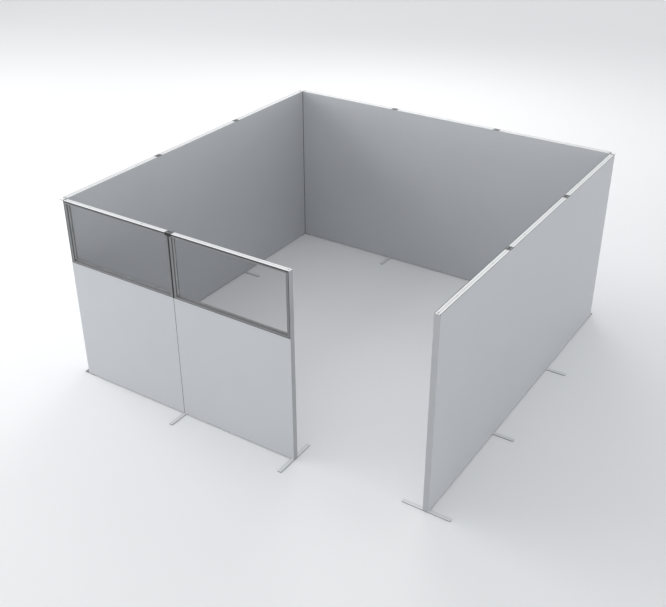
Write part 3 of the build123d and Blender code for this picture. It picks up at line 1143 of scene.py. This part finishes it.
@dataclass
class FloorPlates(WallPart):
    """The feet under the straight joints and free ends, and the plates under the outer corners.

    Each is a bar painted near black, painted shade along its sides, with a cover on top.
    """

    length: float = 360.0 * MM  # A foot's length across the wall.
    width: float = 30.0 * MM  # Its width.
    tip: float = 6.0 * MM  # The radius of its corners.
    tip_steps: int = 6  # How many steps that rounding has.
    cover: float = 0.8 * MM  # The thickness of the cover.
    edge: float = 0.4 * MM  # The rounding of the cover's upper edges.
    pad_reach: float = 34.75 * MM  # From a joint to the end of the pad under the stiles.
    arm: float = 60.0 * MM  # How far a corner plate reaches under each wall.
    overhang: float = 1.5 * MM  # How far a free end's trim stands out of the module's line.
    screw_spread: float = 18.0 * MM  # Between a row's two screws.
    screw_seat: float = 4.65 * MM  # The radius of a screw's seat.

    def layer(self, outline: Iterable[Pair], screws: Iterable[Pair], low: float, high: float) -> Workpiece:
        """A flat layer of an outline, with the tips of a foot rounded.

        Args:
            outline: Its points, in order.
            screws: Where screws come up through it.
            low: Its lower level.
            high: Its upper level.

        Returns:
            The layer.
        """
        work = Workpiece()
        work.prism(outline, low, high)
        reach = self.length / 2 - TINY
        work.break_edges(
            self.tip, self.tip_steps, lambda edge: is_upright(edge) and abs(edge.verts[0].co.y) > reach
        )
        if high == self.layout.foot_top:
            work.break_edges(self.edge, 2, lambda edge: min(vert.co.z for vert in edge.verts) > high - TINY)
        for centre in screws:
            work.cut(hole(self.screw_seat, low - OVERCUT, high + OVERCUT, centre))
        return work

    def plate(
        self, name: str, node: str, place: Matrix, outline: Iterable[Pair], screws: Iterable[Pair], finish: Finish
    ) -> None:
        """Makes a bar painted near black, painted shade on its sides, and its cover.

        Args:
            name: The start of their names.
            node: The CAD node that both stand for.
            place: From the drawing's axes to the room.
            outline: The outline's points, in order.
            screws: Where screws come up through both.
            finish: The cover's finish.
        """
        base, top = self.layout.strip_top, self.layout.foot_top
        split = top - self.cover
        # The bar shows below the cover as a painted shade band.
        self.layer(outline, screws, base, split).deliver(f"{name}_bar", Palette.FOOT_SIDE_SHADE, node, place)
        self.layer(outline, screws, split, top).deliver(f"{name}_cover", finish, node, place)

    def foot_outline(self, bar: Pair, pad: Pair) -> list[Pair]:
        """The outline of a foot.

        Args:
            bar: The bar's span along the wall.
            pad: The span of the pad under the stiles.

        Returns:
            Its points, in order and each once.
        """
        half, reach = self.layout.half_wall, self.length / 2
        low_pad, high_pad = min(bar[0], pad[0]), max(bar[1], pad[1])
        outline = (
            (bar[0], -reach), (bar[1], -reach), (bar[1], -half), (high_pad, -half), (high_pad, half),
            (bar[1], half), (bar[1], reach), (bar[0], reach), (bar[0], half), (low_pad, half),
            (low_pad, -half), (bar[0], -half),
        )
        return list(dict.fromkeys(outline))

    def build(self, run: Run) -> None:
        """Makes the feet of a wall.

        Args:
            run: The wall.
        """
        half, reach, over, pin = self.width / 2, self.pad_reach, self.overhang, self.layout.pin_inset
        spans = [
            (number * self.layout.module, (-half, half), (-reach, reach), (-pin, pin))
            for number in range(1, run.modules)
        ]
        if run.free_start:
            spans.append((0.0, (-over, self.width - over), (-over, reach), (pin,)))
        if run.free_end:
            end = run.modules * self.layout.module
            spans.append((end, (over - self.width, over), (-reach, over), (-pin,)))
        for number, (u, bar, pad, rows) in enumerate(spans, start=1):
            outline = self.foot_outline(bar, pad)
            screws = [(row, side * self.screw_spread / 2) for row in rows for side in SIDES]
            name, node = f"{run.name}_foot_{number}", f"{run.name}_feet"
            self.plate(name, node, run.place(u), outline, screws, Palette.FOOT)

    def build_corners(self, corners: dict[str, Matrix]) -> None:
        """Makes the plates under the outer corners.

        Args:
            corners: The corners' places by name.
        """
        half = self.layout.half_wall
        reach, row, spread = half + self.arm, half + self.layout.pin_inset, self.screw_spread / 2
        outline = ((-half, -half), (reach, -half), (reach, half), (half, half), (half, reach), (-half, reach))
        screws = ((row, -spread), (row, spread), (-spread, row), (spread, row))
        for name, place in corners.items():
            # The corner covers are darker: their own grey plus painted shade for the notch.
            self.plate(f"{name}_corner_base", "corner_bases", place, outline, screws, Palette.BASE_GREY_AND_SHADE)


@dataclass
class CornerHeads(WallPart):
    """The plates over the outer corners, with a key into each wall and a thin dark sheet of painted shade towards each
    capping.
    """

    edge: float = 0.5 * MM  # The rounding of the plate's edges.
    rim: float = 1.0 * MM  # How far down from its top the plate is white; below that it is painted near black, as painted shade.
    tilt: float = 0.5  # Faces whose normal rises by less than this are painted near black as well, as painted shade.
    shade_sheet_reach: float = 8.2 * MM  # How far the dark sheet of painted shade reaches out from under the plate towards the capping, darkening the gap there.
    shade_sheet_side: float = 0.5 * MM  # From the plate's sides in to the sheet's.
    shade_sheet_lift: float = 0.05 * MM  # From the stiles' tops up to the sheet.
    shade_sheet_height: float = 0.6 * MM  # The sheet's thickness.
    key_half: float = 4.9 * MM  # Half of a key's width.
    key_start: float = 13.0 * MM  # Where a key starts, from the corner's middle.
    key_end: float = 25.4 * MM  # Where it ends.
    key_height: float = 20.0 * MM  # How far it hangs.

    def build(self, corners: dict[str, Matrix]) -> None:
        """Makes a head over each corner.

        Args:
            corners: The corners' places by name.
        """
        half, base, top = self.layout.cap / 2, self.layout.cap_base, self.layout.top
        side, lifted = half - self.shade_sheet_side, base + self.shade_sheet_lift
        key = ((self.key_start, -self.key_half, base - self.key_height), (self.key_end, self.key_half, base))
        shade_sheet = ((side, -side, lifted), (half + self.shade_sheet_reach, side, lifted + self.shade_sheet_height))
        rim = top - self.rim
        for name, place in corners.items():
            work = Workpiece.box((-half, -half, base), (half, half, top), self.edge)
            for turn in (0.0, 90.0):
                work.join(Workpiece.box(*key, self.edge / 2, 1, place=turned(turn)))
                work.join(Workpiece.box(*shade_sheet, self.shade_sheet_height / 4, 1, place=turned(turn)))
            # The plate's sides, its lower rim, the keys and the sheets are painted near black: painted shade.
            work.paint(
                Palette.DARK_PAINTED_SHADE, lambda face: abs(face.normal.z) < self.tilt or face.calc_center_median().z < rim
            )
            work.deliver(f"{name}_corner_head", Palette.HEAD, "corner_heads", place)


@dataclass
class EndTrims(WallPart):
    """The covers of the two free ends."""

    edge: float = 0.5 * MM  # The rounding of the cover's edges.
    key_half: float = 4.9 * MM  # Half of the width of the key on its back.
    key_depth: float = 3.9 * MM  # How far the key reaches into the stile's groove.
    thickness: float = 2.0 * MM  # The cover's thickness.
    drop: float = 2.0 * MM  # From the capping's underside down to the cover's top.

    def build(self, run: Run) -> None:
        """Makes the cover of a wall's free end, if it has one.

        Args:
            run: The wall.
        """
        if not (run.free_start or run.free_end):
            return
        half, joint = self.layout.half_wall, self.layout.gap / 2
        low, high = self.layout.foot_top, self.layout.cap_base - self.drop
        work = Workpiece.box((joint - self.thickness, -half, low), (joint, half, high), self.edge)
        key_end = joint + self.key_depth
        work.join(Workpiece.box((joint, -self.key_half, low), (key_end, self.key_half, high), self.edge / 2, 1))
        place = run.place(run.modules * self.layout.module) @ turned(180.0) if run.free_end else run.place()
        work.deliver(f"{run.name}_end_trim", Palette.TRIM, "end_trims", place)


@dataclass
class CarriedNodes:
    """The finishes of the CAD nodes that stay in view."""

    runs: dict[str, Run]  # The walls by name.

    NAMED: ClassVar[dict[str, Finish]] = {
        "_stiles": Palette.EXTRUSION[Grain.UPRIGHT],
        "_cores": Palette.BOARD,
        "_cleats": Palette.CLEAT,
        "floor_strips": Palette.RUBBER_AND_SHADE,
        "corner_seals": Palette.RUBBER_AND_SHADE,
        "capping_screws": Palette.DARK_SCREW,
        "foot_screws": Palette.SCREW,
        "corner_head_screws": Palette.SCREW,
    }

    def finish_of(self, node: str) -> Finish | None:
        """The finish of a node.

        Args:
            node: The node's name.

        Returns:
            The finish, or None where another piece stands for the node.
        """
        wall = self.runs.get(node.split("_")[0])
        if node.endswith("_rails") and wall:
            return Palette.EXTRUSION[wall.grain]
        return next((finish for ending, finish in self.NAMED.items() if node.endswith(ending)), None)

    def build(self) -> None:
        """Assigns the finishes to the nodes' material slots."""
        for name, thing in sorted(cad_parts.items()):
            finish = self.finish_of(name)
            if finish is None or thing.hide_render:
                continue
            for slot in thing.material_slots:
                slot.material = material_of(finish)
            log.info("%s dressed as %s", name, finish.name)


@dataclass(frozen=True)
class Softbox:
    """A square softbox."""

    name: str  # Its name.
    place: Triple  # Where it hangs.
    aim: Triple  # The point that it faces.
    size: float  # Its side.
    power: float  # Its power in watts.

    def hang(self) -> None:
        """Hangs it in its place."""
        lamp = bpy.data.lights.new(self.name, "AREA")
        lamp.shape = "SQUARE"
        lamp.size = self.size
        lamp.energy = self.power
        holder = new_object(self.name, lamp)
        holder.location = self.place
        holder.rotation_euler = (Vector(self.aim) - Vector(self.place)).to_track_quat("-Z", "Y").to_euler()


@dataclass
class Studio:
    """The floor, the soft light and the camera."""

    floor_size: float = 120.0  # The floor's side.
    floor_colour: Triple = (0.91, 0.915, 0.925)  # Its colour.
    floor_cloud: Noise = Noise(0.4, 2.0)  # The faint noise in its tone.
    floor_shades: Pair = (0.995, 1.005)  # The darkest and the lightest share of its colour.
    floor_roughness: float = 0.9  # Its roughness.
    sky_tint: Triple = (0.97, 0.985, 1.0)  # The world's colour.
    even: float = 0.43  # The world's light on the object from all sides.
    horizon: float = 2.06  # What the horizon adds to it all round.
    left: float = 0.34  # What the left side adds to it, low down.
    back: float = 0.49  # What the back adds to it, low down.
    zenith: float = 0.36  # What the sky adds to it straight above.
    backdrop: float = 1.0  # How bright the world is where the camera or a reflection sees it.
    lamps: tuple[Softbox, ...] = (  # A large softbox on the left, and two weaker ones at the left front and the back.
        Softbox("key", (-10.0, -1.0, 7.0), (0.0, 0.0, 0.5), 5.0, 317.0),
        Softbox("fill_front", (-7.0, -5.0, 3.4), (-1.0, 0.0, 0.5), 4.0, 130.0),
        Softbox("fill_back", (-3.0, 6.0, 5.0), (0.0, 0.0, 0.5), 4.0, 109.0),
    )
    camera_place: Triple = (3.6206, -5.8067, 4.311)  # Where the camera stands, as fitted to the photograph.
    camera_turn: Triple = (33.197, 60.034, -0.124)  # Its heading, its tilt and its roll, in degrees.
    lens: float = 51.873  # Its focal length in millimetres.
    sensor: float = 36.0  # The width of its sensor in millimetres.
    far: float = 200.0  # How far it sees.

    def floor(self) -> None:
        """Lays the floor."""
        bm = bmesh.new()
        bmesh.ops.create_grid(bm, x_segments=1, y_segments=1, size=self.floor_size / 2)
        mesh = bpy.data.meshes.new("studio_floor")
        bm.to_mesh(mesh)
        bm.free()
        material = bpy.data.materials.new("studio_floor")
        shader = Shader(material)
        tone = shader.shade(self.floor_colour, self.floor_shades, shader.noise(self.floor_cloud))
        shader.surface({"Base Color": tone, "Roughness": self.floor_roughness})
        mesh.materials.append(material)
        new_object("studio_floor", mesh)

    def world(self) -> None:
        """Lights the room all round, and shows a white backdrop to the camera and in reflections."""
        world = bpy.data.worlds.new("studio_world")
        bpy.context.scene.world = world
        shader = Shader(world)
        camera, glossy, through = (
            shader.add("ShaderNodeLightPath", output=f"Is {name} Ray") for name in ("Camera", "Glossy", "Transmission")
        )
        seen = camera.maximum(glossy.maximum(through))
        direction = shader.add("ShaderNodeTexCoord", output="Generated")
        x, y, z = (
            shader.add("ShaderNodeSeparateXYZ", sockets={"Vector": direction}, output=axis) for axis in "XYZ"
        )
        up = z.maximum(0.0)
        low = (1.0 - up) * (1.0 - up)
        sides = self.left * (0.5 - 0.5 * x) + self.back * (0.5 + 0.5 * y) + self.horizon * low * low
        glow = self.even + low * sides + self.zenith * up * up
        strength = glow + (self.backdrop - glow) * seen
        sky = shader.add("ShaderNodeBackground", sockets={"Color": (*self.sky_tint, 1.0), "Strength": strength})
        shader.add("ShaderNodeOutputWorld", sockets={"Surface": sky})

    def camera(self) -> None:
        """Sets the camera up at the photograph's viewing angle."""
        lens = bpy.data.cameras.new("camera")
        lens.sensor_width = self.sensor
        lens.lens = self.lens
        lens.clip_end = self.far
        holder = new_object("camera", lens)
        heading, tilt, roll = self.camera_turn
        holder.location = self.camera_place
        holder.rotation_euler = (turned(heading) @ turned(tilt, "X") @ turned(roll)).to_euler()
        bpy.context.scene.camera = holder

    def build(self) -> None:
        """Sets up the whole studio."""
        bpy.context.scene.view_settings.view_transform = "Standard"
        self.floor()
        self.world()
        for lamp in self.lamps:
            lamp.hang()
        self.camera()


def main() -> None:
    """Builds the partition's pieces, dresses the rest and sets up the studio."""
    logging.basicConfig(level=logging.INFO, format="%(name)s: %(message)s")
    layout = Layout.read()
    runs, corners = layout.runs(), layout.corners()
    capping, clips = Capping(layout), LinkClips(layout)
    plates, trims = FloorPlates(layout), EndTrims(layout)
    for run in runs:
        capping.build(run)
        clips.build(run)
        plates.build(run)
        trims.build(run)
    Panels().build()
    Glazing(layout).build(runs[0])
    CornerHeads(layout).build(corners)
    plates.build_corners(corners)
    CarriedNodes({run.name: run for run in runs}).build()
    Studio().build()


if __name__ == "__main__":
    main()
